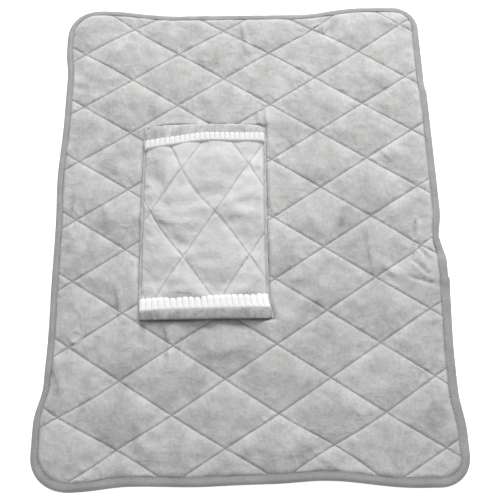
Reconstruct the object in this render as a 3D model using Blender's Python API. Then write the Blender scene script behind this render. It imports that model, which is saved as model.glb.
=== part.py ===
"""A quilted heated lap blanket with a hand pocket, lying flat with its face up.

The blanket is a sandwich of fabric, wadding and a heater layer, closed all round by a folded
edge binding. It folds along two lines across its width, so every layer is made once for the
middle panel and once for each flap. +X runs across the blanket, +Y along it, +Z up, and the
origin is the middle of the underside.
"""
import math

import bmesh
import bpy

# Blanket, in metres
BLANKET_WIDTH = 0.600
BLANKET_LENGTH = 0.790
CORNER_RADIUS = 0.055
END_BOW = 0.015               # the middle of each end lies this far inside the corners
GAP = 0.0003                  # left between pieces that touch

# Layers, from the underside up
FABRIC_THICKNESS = 0.0024
BACK_WADDING_THICKNESS = 0.0021
CARRIER_THICKNESS = 0.0008
FACE_WADDING_THICKNESS = 0.0030

# Edge binding: a tape folded round the edge
BINDING_WIDTH = 0.0125
BINDING_THICKNESS = 0.0012

# Heating circuit
WIRE_DIAMETER = 0.0016
ROW_PITCH = 0.055
ROW_LEFT_MARGIN = 0.043       # from the left edge to the rows' turns
ROW_LEAD_GAP = 0.015          # from the rows' right turns to the leads
LEAD_STANDOFF = 0.011         # the two leads pass this far behind the inlet
LEAD_BEND = 0.008
FLAP_ROW_START = 0.0415       # from a fold line to the flap's nearest row
MIDDLE_ROW_START = 0.039      # from the thermostat to the middle panel's first row
END_MARGIN = 0.010            # between the binding and the last row
FUSE_DIAMETER = 0.0020
FUSE_LENGTH = 0.010
FUSE_Y = 0.060
THERMOSTAT_RADIUS = 0.009
THERMOSTAT_WALL = 0.0009
THERMOSTAT_HEIGHT = 0.0028
THERMOSTAT_SETBACK = 0.0215   # from the lower fold line to the thermostat
BIMETAL_THICKNESS = 0.0004

# Power inlet, in the middle panel's right edge
INLET_Y = -0.082
INLET_LENGTH = 0.042
INLET_WIDTH = 0.022
INLET_WALL = 0.0014
MOUTH_DEPTH = 0.0185
PARTITION_THICKNESS = 0.003
REAR_CAP_THICKNESS = 0.002
PIN_DIAMETER = 0.0020
PIN_LENGTH = 0.023
PIN_SPACING = 0.010
PIN_CLEARANCE = 0.0002
PIN_TIP_SETBACK = 0.005

# Hand pocket, sewn down along its sides and open at its ends
POCKET_WIDTH = 0.193
POCKET_LENGTH = 0.323
POCKET_X = -0.0695
POCKET_Y = 0.0065
TUNNEL_HEIGHT = 0.009
LINING_THICKNESS = 0.0008
POCKET_WADDING_THICKNESS = 0.0028
SEAM_WIDTH = 0.003
SEAM_FLANGE_WIDTH = 0.004
SEAM_FLANGE_THICKNESS = 0.0015
LOWER_HEM_WIDTH = 0.014
UPPER_HEM_WIDTH = 0.018
HEM_THICKNESS = 0.006
TRIM_WIDTH = 0.016
TRIM_THICKNESS = 0.0065
TRIM_LOBES = 20
TRIM_LOBE_HEIGHT = 0.004

# Folding
FLAP_CLEARANCE = 0.001        # each flap is this much shorter than half the middle panel
STACK_CLEARANCE = 0.0014      # between the pocket and a flap folded over it

# Colours, as linear red, green and blue
VELVET_GREY = (0.50, 0.50, 0.50)
BINDING_GREY = (0.30, 0.30, 0.30)
PLUSH_WHITE = (0.86, 0.86, 0.85)
WADDING_WHITE = (0.80, 0.80, 0.78)
CARRIER_GREY = (0.62, 0.64, 0.66)
WIRE_RED = (0.42, 0.05, 0.04)
PLASTIC_BLACK = (0.03, 0.03, 0.03)
METAL_GREY = (0.62, 0.62, 0.60)
BRASS_YELLOW = (0.60, 0.46, 0.20)

# Levels of the layers
BACK_WADDING_Z = FABRIC_THICKNESS + GAP
CARRIER_Z = BACK_WADDING_Z + BACK_WADDING_THICKNESS + GAP
WIRE_LAYER_Z = CARRIER_Z + CARRIER_THICKNESS + GAP
FACE_WADDING_Z = WIRE_LAYER_Z + max(WIRE_DIAMETER, FUSE_DIAMETER) + GAP
FACE_FABRIC_Z = FACE_WADDING_Z + FACE_WADDING_THICKNESS + GAP
BLANKET_TOP = FACE_FABRIC_Z + FABRIC_THICKNESS
WIRE_Z = WIRE_LAYER_Z + WIRE_DIAMETER / 2

# Levels of the pocket
LINING_Z = BLANKET_TOP + TUNNEL_HEIGHT
POCKET_WADDING_Z = LINING_Z + LINING_THICKNESS + GAP
POCKET_FACE_Z = POCKET_WADDING_Z + POCKET_WADDING_THICKNESS + GAP
POCKET_TOP = max(
    POCKET_FACE_Z + FABRIC_THICKNESS,
    POCKET_WADDING_Z + HEM_THICKNESS,
    POCKET_WADDING_Z + TRIM_THICKNESS,
)

# Fold lines, and the level that a flap turns about to lie just above the pocket
FOLD_Y = BLANKET_LENGTH / 4 + FLAP_CLEARANCE
FOLD_AXIS_Z = (POCKET_TOP + STACK_CLEARANCE + BLANKET_TOP) / 2

# Places in the heating circuit
LEAD_X = BLANKET_WIDTH / 2 - INLET_LENGTH - LEAD_STANDOFF
ROW_RIGHT = LEAD_X - ROW_LEAD_GAP
ROW_LEFT = ROW_LEFT_MARGIN - BLANKET_WIDTH / 2
THERMOSTAT_Y = THERMOSTAT_SETBACK - FOLD_Y
FIRST_MIDDLE_ROW = THERMOSTAT_Y + MIDDLE_ROW_START
MIDDLE_ROWS = 2 * int(((FOLD_Y - ROW_PITCH / 2 - FIRST_MIDDLE_ROW) / ROW_PITCH + 1) / 2)
FLAP_LAST_ROW = BLANKET_LENGTH / 2 - END_BOW - BINDING_WIDTH - END_MARGIN
FLAP_ROWS = 1 + 2 * int((FLAP_LAST_ROW - FOLD_Y - FLAP_ROW_START) / (2 * ROW_PITCH))

BINDING_SLOT = BINDING_THICKNESS + GAP
CORNER_STEPS = 8
END_STEPS = 11
BEND_STEPS = 4
LOBE_STEPS = 5
ROUND_SIDES = 16
OVERCUT = 0.005               # how far a cutter runs past what it cuts


def new_collection(name):
    """Return a new collection linked to the scene."""
    collection = bpy.data.collections.new(name)
    bpy.context.scene.collection.children.link(collection)
    return collection


def make_material(name, colour, roughness, metallic=0.0):
    """Return a Principled material."""
    material = bpy.data.materials.new(name)
    material.use_nodes = True
    shader = material.node_tree.nodes["Principled BSDF"]
    shader.inputs["Base Color"].default_value = (*colour, 1.0)
    shader.inputs["Roughness"].default_value = roughness
    shader.inputs["Metallic"].default_value = metallic
    return material


def mesh_from_curve(curve_object):
    """Replace a curve object by the welded mesh of what it evaluates to."""
    depsgraph = bpy.context.evaluated_depsgraph_get()
    mesh = bpy.data.meshes.new_from_object(curve_object.evaluated_get(depsgraph))
    solid = bpy.data.objects.new(curve_object.name + "_solid", mesh)
    solid.matrix_world = curve_object.matrix_world
    curve_object.users_collection[0].objects.link(solid)
    weld(mesh)
    name = curve_object.name
    bpy.data.objects.remove(curve_object)
    solid.name = name
    return solid


def weld(mesh):
    """Merge the loose caps of a curve's mesh with its sides."""
    work = bmesh.new()
    work.from_mesh(mesh)
    bmesh.ops.remove_doubles(work, verts=work.verts, dist=0.00001)
    work.to_mesh(mesh)
    work.free()


def plate(name, outline, low, high, along="Z", collection=None):
    """Extrude a closed outline from low to high along an axis.

    The outline's points are (x, y) along Z, (x, z) along Y, and (y, z) along X.
    """
    curve = bpy.data.curves.new(name, "CURVE")
    curve.dimensions = "2D"
    curve.fill_mode = "BOTH"
    curve.extrude = (high - low) / 2
    spline = curve.splines.new("POLY")
    spline.points.add(len(outline) - 1)
    for point, (u, v) in zip(spline.points, outline):
        point.co = (u, v, 0.0, 1.0)
    spline.use_cyclic_u = True
    piece = bpy.data.objects.new(name, curve)
    middle = (low + high) / 2
    turns = {"Z": (0, 0, 0), "Y": (math.pi / 2, 0, 0), "X": (math.pi / 2, 0, math.pi / 2)}
    places = {"Z": (0, 0, middle), "Y": (0, middle, 0), "X": (middle, 0, 0)}
    piece.rotation_euler = turns[along]
    piece.location = places[along]
    (collection or PARTS).objects.link(piece)
    bpy.context.view_layer.update()
    return mesh_from_curve(piece)


def box_outline(left, right, front, back):
    """Corners of a rectangle."""
    return [(left, front), (right, front), (right, back), (left, back)]


def tube(name, route, diameter, level=WIRE_Z):
    """A round wire along a flat route of (x, y) points."""
    curve = bpy.data.curves.new(name, "CURVE")
    curve.dimensions = "3D"
    curve.bevel_depth = diameter / 2
    curve.bevel_resolution = 2
    curve.use_fill_caps = True
    spline = curve.splines.new("POLY")
    spline.points.add(len(route) - 1)
    for point, (x, y) in zip(spline.points, route):
        point.co = (x, y, level, 1.0)
    piece = bpy.data.objects.new(name, curve)
    PARTS.objects.link(piece)
    return piece


def rounded_route(corners, radius):
    """Points through right-angled corners, each rounded with a quarter circle."""
    route = [corners[0]]
    for before, corner, after in zip(corners, corners[1:], corners[2:]):
        into = unit(before, corner)
        out = unit(corner, after)
        for step in range(BEND_STEPS + 1):
            angle = math.pi / 2 * step / BEND_STEPS
            back_off = radius * (1 - math.sin(angle))
            move_on = radius * (1 - math.cos(angle))
            route.append((
                corner[0] - into[0] * back_off + out[0] * move_on,
                corner[1] - into[1] * back_off + out[1] * move_on,
            ))
    route.append(corners[-1])
    return route


def unit(start, end):
    """Direction from one flat point to another."""
    length = math.hypot(end[0] - start[0], end[1] - start[1])
    return ((end[0] - start[0]) / length, (end[1] - start[1]) / length)


def rod(name, centre, diameter, length, along, sides=ROUND_SIDES, collection=None):
    """A cylinder centred on a point, along X, Y or Z."""
    turns = {"X": (0, math.pi / 2, 0), "Y": (math.pi / 2, 0, 0), "Z": (0, 0, 0)}
    bpy.ops.mesh.primitive_cylinder_add(
        vertices=sides, radius=diameter / 2, depth=length, location=centre, rotation=turns[along]
    )
    piece = bpy.context.active_object
    piece.name = name
    for default in list(piece.users_collection):
        default.objects.unlink(piece)
    (collection or PARTS).objects.link(piece)
    piece.data.shade_smooth()
    piece.data.set_sharp_from_angle(angle=math.radians(40))
    return piece


def cut(piece, *cutters):
    """Take the cutters away from a piece."""
    for cutter in cutters:
        cutter.hide_render = True
        cutter.display_type = "WIRE"
        modifier = piece.modifiers.new(cutter.name, "BOOLEAN")
        modifier.operation = "DIFFERENCE"
        modifier.object = cutter


def paint(material, *pieces):
    """Give pieces their material."""
    for piece in pieces:
        piece.data.materials.clear()
        piece.data.materials.append(material)


def edge_path(inset, start):
    """The upper flap's edge, inset from the outline, from the right of a line to its left."""
    centre_x = BLANKET_WIDTH / 2 - CORNER_RADIUS
    centre_y = BLANKET_LENGTH / 2 - CORNER_RADIUS
    radius = CORNER_RADIUS - inset
    right = []
    for step in range(CORNER_STEPS + 1):
        angle = math.pi / 2 * step / CORNER_STEPS
        right.append((centre_x + radius * math.cos(angle), centre_y + radius * math.sin(angle)))
    end = []
    for step in range(1, END_STEPS):
        x = centre_x * (1 - 2 * step / END_STEPS)
        bow = END_BOW * (1 + math.cos(math.pi * x / centre_x)) / 2
        end.append((x, BLANKET_LENGTH / 2 - inset - bow))
    left = [(-x, y) for x, y in reversed(right)]
    side = BLANKET_WIDTH / 2 - inset
    return [(side, start), *right, *end, *left, (-side, start)]


def mirrored(outline):
    """The same outline on the other side of the X axis."""
    return [(x, -y) for x, y in outline]


def panel_outline(panel, inset):
    """Outline of one panel, inset from the blanket's edge but not from the fold lines."""
    if panel == "middle":
        side = BLANKET_WIDTH / 2 - inset
        return box_outline(-side, side, GAP / 2 - FOLD_Y, FOLD_Y - GAP / 2)
    outline = edge_path(inset, FOLD_Y + GAP / 2)
    return outline if panel == "upper" else mirrored(outline)


def rim_outlines(panel, outer, inner, start_shift=0.0):
    """Outlines of the strips between two insets along one panel's outer edges."""
    if panel == "middle":
        half = FOLD_Y - GAP / 2 - start_shift
        near = BLANKET_WIDTH / 2 - inner
        far = BLANKET_WIDTH / 2 - outer
        return {
            "left": box_outline(-far, -near, -half, half),
            "right": box_outline(near, far, -half, half),
        }
    start = FOLD_Y + GAP / 2 + start_shift
    rim = edge_path(outer, start) + edge_path(inner, start)[::-1]
    return {"": rim if panel == "upper" else mirrored(rim)}


def stepped_fabric(name, panel, low, high, covered_low, covered_high):
    """A fabric layer whose edge is thinned where a leg of the binding covers it."""
    fabric = plate(name, panel_outline(panel, BINDING_SLOT), low, high)
    rims = rim_outlines(panel, -OVERCUT, BINDING_WIDTH + GAP, -OVERCUT)
    for side, rim in rims.items():
        cutter = plate(f"{name}_rebate_{side}", rim, covered_low, covered_high, collection=CUTTERS)
        cut(fabric, cutter)
    return fabric


def make_layers(panel):
    """The five sheets of one panel, without the holes that its electrical pieces need."""
    outline = panel_outline(panel, BINDING_SLOT)
    layers = {
        "back_fabric": stepped_fabric(
            f"back_fabric_{panel}", panel, 0.0, FABRIC_THICKNESS, -OVERCUT, BINDING_SLOT
        ),
        "back_wadding": plate(
            f"back_wadding_{panel}", outline, BACK_WADDING_Z, BACK_WADDING_Z + BACK_WADDING_THICKNESS
        ),
        "heater_carrier": plate(
            f"heater_carrier_{panel}", outline, CARRIER_Z, CARRIER_Z + CARRIER_THICKNESS
        ),
        "face_wadding": plate(
            f"face_wadding_{panel}", outline, FACE_WADDING_Z, FACE_WADDING_Z + FACE_WADDING_THICKNESS
        ),
        "face_fabric": stepped_fabric(
            f"face_fabric_{panel}", panel, FACE_FABRIC_Z, BLANKET_TOP,
            BLANKET_TOP - BINDING_SLOT, BLANKET_TOP + OVERCUT,
        ),
    }
    paint(VELVET, layers["back_fabric"], layers["face_fabric"])
    paint(WADDING, layers["back_wadding"], layers["face_wadding"])
    paint(CARRIER, layers["heater_carrier"])
    return layers


def make_binding(panel):
    """The tape folded round one panel's outer edges: two legs joined by an outer wall."""
    strips = {}
    outlines = rim_outlines(panel, 0.0, BINDING_WIDTH)
    slots = rim_outlines(panel, BINDING_THICKNESS, BINDING_WIDTH + OVERCUT, -OVERCUT)
    for side, outline in outlines.items():
        name = f"edge_binding_{side or panel}"
        strip = plate(name, outline, 0.0, BLANKET_TOP)
        slot = plate(
            f"{name}_slot", slots[side], BINDING_THICKNESS, BLANKET_TOP - BINDING_THICKNESS,
            collection=CUTTERS,
        )
        cut(strip, slot)
        paint(BINDING, strip)
        strips[side or panel] = strip
    return strips


def zigzag(first_row, rows, first_side):
    """Corners of a wire that runs back and forth across the blanket."""
    corners = []
    side = first_side
    for row in range(rows):
        y = first_row + row * ROW_PITCH
        other = ROW_LEFT + ROW_RIGHT - side
        corners += [(side, y), (other, y)]
        side = other
    return corners


def make_heating_circuit():
    """The heating wire in its five lengths, which meet at the fold lines and the thermostat."""
    bend = ROW_PITCH / 2
    fold = FOLD_Y - GAP / 2
    past_fold = FOLD_Y + GAP / 2
    lowest_row = -FOLD_Y - FLAP_ROW_START - (FLAP_ROWS - 1) * ROW_PITCH
    lower_rows = zigzag(lowest_row, FLAP_ROWS, ROW_RIGHT)
    upper_rows = zigzag(FOLD_Y + FLAP_ROW_START, FLAP_ROWS, ROW_LEFT)
    middle_rows = zigzag(FIRST_MIDDLE_ROW, MIDDLE_ROWS, ROW_LEFT)
    lower_corners = [
        (LEAD_X, -past_fold), (LEAD_X, lower_rows[0][1]), *lower_rows[1:], (ROW_LEFT, -past_fold)
    ]
    upper_corners = [
        (ROW_LEFT, past_fold), *upper_rows[:-1], (LEAD_X, upper_rows[-1][1]), (LEAD_X, past_fold)
    ]
    thermostat_reach = THERMOSTAT_RADIUS + GAP
    middle_corners = [
        (ROW_LEFT, THERMOSTAT_Y + thermostat_reach), *middle_rows, (ROW_LEFT, fold)
    ]
    fuse_reach = FUSE_LENGTH / 2 + GAP
    solder_x = BLANKET_WIDTH / 2 - PIN_TIP_SETBACK - PIN_LENGTH - GAP
    front_pin = INLET_Y - PIN_SPACING / 2
    rear_pin = INLET_Y + PIN_SPACING / 2
    supply_corners = [(solder_x, front_pin), (LEAD_X, front_pin), (LEAD_X, -fold)]
    return_corners = [(solder_x, rear_pin), (LEAD_X, rear_pin), (LEAD_X, FUSE_Y - fuse_reach)]
    lengths = [
        tube("heating_wire_lower", rounded_route(lower_corners, bend), WIRE_DIAMETER),
        tube("heating_wire_upper", rounded_route(upper_corners, bend), WIRE_DIAMETER),
        tube("heating_wire_middle", rounded_route(middle_corners, bend), WIRE_DIAMETER),
        tube(
            "thermostat_lead",
            [(ROW_LEFT, -fold), (ROW_LEFT, THERMOSTAT_Y - thermostat_reach)],
            WIRE_DIAMETER,
        ),
        tube("supply_lead", rounded_route(supply_corners, LEAD_BEND), WIRE_DIAMETER),
        tube("return_lead", rounded_route(return_corners, LEAD_BEND), WIRE_DIAMETER),
        tube("fuse_lead", [(LEAD_X, FUSE_Y + fuse_reach), (LEAD_X, fold)], WIRE_DIAMETER),
    ]
    paint(WIRE, *lengths)
    fuse_z = WIRE_LAYER_Z + FUSE_DIAMETER / 2
    fuse = rod("thermal_fuse", (LEAD_X, FUSE_Y, fuse_z), FUSE_DIAMETER, FUSE_LENGTH, "Y")
    paint(WADDING, fuse)


def make_thermostat(face_wadding):
    """A disc thermostat: a cup, a bimetal disc loose inside it, and a metal cap."""
    base = WIRE_LAYER_Z
    inner_radius = THERMOSTAT_RADIUS - THERMOSTAT_WALL
    floor = base + THERMOSTAT_WALL
    rim = base + THERMOSTAT_HEIGHT
    centre = (ROW_LEFT, THERMOSTAT_Y)
    case = rod(
        "thermostat_case", (*centre, base + THERMOSTAT_HEIGHT / 2), 2 * THERMOSTAT_RADIUS,
        THERMOSTAT_HEIGHT, "Z", 24,
    )
    hollow_height = rim - floor + OVERCUT
    hollow = rod(
        "thermostat_hollow", (*centre, floor + hollow_height / 2), 2 * inner_radius,
        hollow_height, "Z", 24, CUTTERS,
    )
    cut(case, hollow)
    bimetal = rod(
        "thermostat_bimetal", (*centre, (floor + rim) / 2), 2 * (inner_radius - GAP),
        BIMETAL_THICKNESS, "Z", 24,
    )
    cap = rod(
        "thermostat_cap", (*centre, rim + GAP + THERMOSTAT_WALL / 2), 2 * THERMOSTAT_RADIUS,
        THERMOSTAT_WALL, "Z", 24,
    )
    window = rod(
        "thermostat_window", (*centre, FACE_WADDING_Z), 2 * (THERMOSTAT_RADIUS + GAP),
        2 * (rim - base + FACE_WADDING_THICKNESS), "Z", 24, CUTTERS,
    )
    cut(face_wadding, window)
    paint(PLASTIC, case)
    paint(METAL, bimetal, cap)


def inlet_box(name, start, end, margin, collection):
    """A box round the inlet's centre line from start to end along X, grown by a margin."""
    half = INLET_WIDTH / 2 + margin
    low = BACK_WADDING_Z - margin
    high = FACE_FABRIC_Z - GAP + margin
    outline = [(INLET_Y - half, low), (INLET_Y + half, low),
               (INLET_Y + half, high), (INLET_Y - half, high)]
    return plate(name, outline, start, end, "X", collection)


def make_inlet(layers, right_binding):
    """The socket that the power lead plugs into, with its pins and the cap at its back."""
    face = BLANKET_WIDTH / 2
    back = face - INLET_LENGTH
    partition_front = face - MOUTH_DEPTH
    partition_back = partition_front - PARTITION_THICKNESS
    housing = inlet_box("inlet_housing", back, face, 0.0, PARTS)
    mouth = inlet_box("inlet_mouth", partition_front, face + OVERCUT, -INLET_WALL, CUTTERS)
    rear = inlet_box("inlet_rear_chamber", back - OVERCUT, partition_back, -INLET_WALL, CUTTERS)
    cut(housing, mouth, rear)
    cap = inlet_box("inlet_rear_cap", back, back + REAR_CAP_THICKNESS, -INLET_WALL - GAP, PARTS)
    pins = []
    for place, side in (("front", -1), ("rear", 1)):
        y = INLET_Y + side * PIN_SPACING / 2
        pin_x = face - PIN_TIP_SETBACK - PIN_LENGTH / 2
        pins.append(
            rod(f"inlet_pin_{place}", (pin_x, y, WIRE_Z), PIN_DIAMETER, PIN_LENGTH, "X", 12)
        )
        hole_diameter = PIN_DIAMETER + 2 * PIN_CLEARANCE
        partition_hole = rod(
            f"inlet_pin_hole_{place}", ((partition_front + partition_back) / 2, y, WIRE_Z),
            hole_diameter, PARTITION_THICKNESS + 2 * OVERCUT, "X", 12, CUTTERS,
        )
        lead_hole = rod(
            f"inlet_lead_hole_{place}", (back + REAR_CAP_THICKNESS / 2, y, WIRE_Z),
            WIRE_DIAMETER + 2 * PIN_CLEARANCE, REAR_CAP_THICKNESS + 2 * OVERCUT, "X", 12, CUTTERS,
        )
        cut(housing, partition_hole)
        cut(cap, lead_hole)
    pocket = inlet_box("inlet_pocket", back - GAP, face + OVERCUT, GAP, CUTTERS)
    cut(right_binding, pocket)
    for layer in ("back_wadding", "heater_carrier", "face_wadding"):
        cut(layers[layer], pocket)
    paint(PLASTIC, housing, cap)
    paint(BRASS, *pins)


def make_pocket_seam(side, name):
    """The side seam of the pocket: a wall that carries the panel, with a flange sewn down."""
    outer = POCKET_X + side * POCKET_WIDTH / 2
    base = BLANKET_TOP + GAP
    top = LINING_Z - GAP
    section = [
        (outer, base), (outer, base + SEAM_FLANGE_THICKNESS),
        (outer - side * SEAM_FLANGE_WIDTH, base + SEAM_FLANGE_THICKNESS),
        (outer - side * SEAM_FLANGE_WIDTH, top),
        (outer - side * (SEAM_FLANGE_WIDTH + SEAM_WIDTH), top),
        (outer - side * (SEAM_FLANGE_WIDTH + SEAM_WIDTH), base),
    ]
    half = POCKET_LENGTH / 2
    return plate(name, section, POCKET_Y - half, POCKET_Y + half, "Y")


def rounded_bar(name, start, width, thickness):
    """A rolled hem across the pocket, with round edges, lying on the lining."""
    radius = thickness / 2
    centre_z = POCKET_WADDING_Z + radius
    section = []
    for middle, first in ((start + width - radius, -math.pi / 2), (start + radius, math.pi / 2)):
        for step in range(BEND_STEPS * 2 + 1):
            angle = first + math.pi * step / (BEND_STEPS * 2)
            section.append((middle + radius * math.cos(angle), centre_z + radius * math.sin(angle)))
    half = POCKET_WIDTH / 2
    return plate(name, section, POCKET_X - half, POCKET_X + half, "X")


def trim(name, start):
    """A plush strip across the pocket, straight below and with a row of lobes above."""
    left = POCKET_X - POCKET_WIDTH / 2
    right = POCKET_X + POCKET_WIDTH / 2
    pitch = POCKET_WIDTH / TRIM_LOBES
    shoulder = start + TRIM_WIDTH - TRIM_LOBE_HEIGHT
    outline = [(left, start), (right, start)]
    for lobe in range(TRIM_LOBES):
        for step in range(LOBE_STEPS + (lobe == TRIM_LOBES - 1)):
            angle = math.pi * step / LOBE_STEPS
            x = right - pitch * (lobe + 0.5 - 0.5 * math.cos(angle))
            outline.append((x, shoulder + TRIM_LOBE_HEIGHT * math.sin(angle)))
    return plate(name, outline, POCKET_WADDING_Z, POCKET_WADDING_Z + TRIM_THICKNESS)


def make_pocket():
    """The quilted panel over the hand tunnel, its seams, and the hem and trim at each end."""
    left = POCKET_X - POCKET_WIDTH / 2
    right = POCKET_X + POCKET_WIDTH / 2
    front = POCKET_Y - POCKET_LENGTH / 2
    back = POCKET_Y + POCKET_LENGTH / 2
    lower_trim_start = front + LOWER_HEM_WIDTH + GAP
    upper_trim_start = back - UPPER_HEM_WIDTH - GAP - TRIM_WIDTH
    panel_front = lower_trim_start + TRIM_WIDTH + GAP
    panel_back = upper_trim_start - GAP
    panel = box_outline(left, right, panel_front, panel_back)
    lining = plate(
        "pocket_lining", box_outline(left, right, front, back), LINING_Z,
        LINING_Z + LINING_THICKNESS,
    )
    wadding = plate(
        "pocket_wadding", panel, POCKET_WADDING_Z, POCKET_WADDING_Z + POCKET_WADDING_THICKNESS
    )
    face = plate("pocket_face_fabric", panel, POCKET_FACE_Z, POCKET_FACE_Z + FABRIC_THICKNESS)
    paint(VELVET, lining, face)
    paint(WADDING, wadding)
    paint(
        BINDING,
        make_pocket_seam(-1, "pocket_seam_left"),
        make_pocket_seam(1, "pocket_seam_right"),
        rounded_bar("pocket_hem_lower", front, LOWER_HEM_WIDTH, HEM_THICKNESS),
        rounded_bar("pocket_hem_upper", back - UPPER_HEM_WIDTH, UPPER_HEM_WIDTH, HEM_THICKNESS),
    )
    paint(
        PLUSH,
        trim("pocket_trim_lower", lower_trim_start),
        trim("pocket_trim_upper", upper_trim_start),
    )


def hang_on_fold(panel, direction):
    """Parent every piece of a flap to an empty on its fold axis."""
    axis = bpy.data.objects.new(f"{panel}_fold_axis", None)
    axis.location = (0.0, direction * FOLD_Y, FOLD_AXIS_Z)
    PARTS.objects.link(axis)
    bpy.context.view_layer.update()
    for piece in PARTS.objects:
        if piece.name.endswith(f"_{panel}") and not piece.name.startswith("pocket"):
            piece.parent = axis
            piece.matrix_parent_inverse = axis.matrix_world.inverted()


for old in list(bpy.data.objects):
    bpy.data.objects.remove(old)

PARTS = new_collection("heated_lap_blanket")
CUTTERS = new_collection("cutters")
VELVET = make_material("grey_velvet", VELVET_GREY, 0.9)
BINDING = make_material("grey_binding", BINDING_GREY, 0.85)
PLUSH = make_material("white_plush", PLUSH_WHITE, 0.95)
WADDING = make_material("white_wadding", WADDING_WHITE, 0.95)
CARRIER = make_material("heater_nonwoven", CARRIER_GREY, 0.9)
WIRE = make_material("wire_insulation", WIRE_RED, 0.45)
PLASTIC = make_material("black_plastic", PLASTIC_BLACK, 0.4)
METAL = make_material("steel", METAL_GREY, 0.35, 1.0)
BRASS = make_material("brass", BRASS_YELLOW, 0.3, 1.0)

panel_layers = {panel: make_layers(panel) for panel in ("lower", "middle", "upper")}
bindings = {}
for panel in panel_layers:
    bindings.update(make_binding(panel))
make_heating_circuit()
make_thermostat(panel_layers["middle"]["face_wadding"])
make_inlet(panel_layers["middle"], bindings["right"])
make_pocket()
hang_on_fold("upper", 1)
hang_on_fold("lower", -1)
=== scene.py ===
import bpy
import numpy as np
from mathutils import Matrix, Vector


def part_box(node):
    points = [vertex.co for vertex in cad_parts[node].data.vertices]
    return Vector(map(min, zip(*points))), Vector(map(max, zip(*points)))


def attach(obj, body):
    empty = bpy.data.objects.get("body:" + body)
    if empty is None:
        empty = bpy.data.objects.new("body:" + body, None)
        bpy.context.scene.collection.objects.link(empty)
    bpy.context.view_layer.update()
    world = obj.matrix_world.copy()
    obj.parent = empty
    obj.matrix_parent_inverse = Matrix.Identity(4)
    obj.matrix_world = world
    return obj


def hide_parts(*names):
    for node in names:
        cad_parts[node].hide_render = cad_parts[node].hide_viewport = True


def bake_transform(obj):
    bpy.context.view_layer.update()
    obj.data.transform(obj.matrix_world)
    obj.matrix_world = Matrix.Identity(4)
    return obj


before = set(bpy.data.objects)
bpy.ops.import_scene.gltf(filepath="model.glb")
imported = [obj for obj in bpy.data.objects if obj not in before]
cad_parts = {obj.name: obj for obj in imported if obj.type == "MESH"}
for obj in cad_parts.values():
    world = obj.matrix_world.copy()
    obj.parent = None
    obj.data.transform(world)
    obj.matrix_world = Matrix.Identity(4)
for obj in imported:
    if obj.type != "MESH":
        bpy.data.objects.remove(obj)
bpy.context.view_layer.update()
scene = bpy.context.scene

# Camera. The blanket lies face up on a table. A 50 mm lens stands a metre from it and looks down at it from
# beyond its foot, at 71 degrees and a degree off square.
azimuth, elevation, roll = np.radians([-1.31, 71.1, 0.4])
level = np.cos(elevation)
lens_back = np.array([np.sin(azimuth) * level, -np.cos(azimuth) * level, np.sin(elevation)])
level_right = np.cross(-lens_back, [0.0, 0.0, 1.0])
level_right /= np.linalg.norm(level_right)
level_up = np.cross(level_right, -lens_back)
turned_right = level_right * np.cos(roll) + level_up * np.sin(roll)
turned_up = level_up * np.cos(roll) - level_right * np.sin(roll)
lens_place = np.array([0.0009, -0.0453, 0.009]) + 1.065 * lens_back
camera_data = bpy.data.cameras.new("table_camera")
camera_data.lens = 50
camera_data.sensor_width = 36
camera = bpy.data.objects.new("table_camera", camera_data)
stand = np.eye(4)
stand[:3] = np.stack([turned_right, turned_up, lens_back, lens_place], axis=1)
camera.matrix_world = Matrix(stand.tolist())
scene.collection.objects.link(camera)
scene.camera = camera


# Table and light. The table is a plain matt white sheet that glows a little. A softbox stands beyond the head
# end, a little to the right, so that its light rakes down the blanket. A weak one stands at the foot, and the
# white room fills the rest.
class Value:
    """The output of one node. Arithmetic with it adds a Math node and gives that node's output."""

    def __init__(self, finish, socket):
        self.finish = finish
        self.socket = socket

    def math(self, operation, first, second):
        return self.finish.node("ShaderNodeMath", {"operation": operation}, {0: first, 1: second})

    def __add__(self, other):
        return self.math("ADD", self, other)

    def __sub__(self, other):
        return self.math("SUBTRACT", self, other)

    def __mul__(self, other):
        return self.math("MULTIPLY", self, other)

    def __truediv__(self, other):
        return self.math("DIVIDE", self, other)

    __radd__ = __add__
    __rmul__ = __mul__


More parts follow.
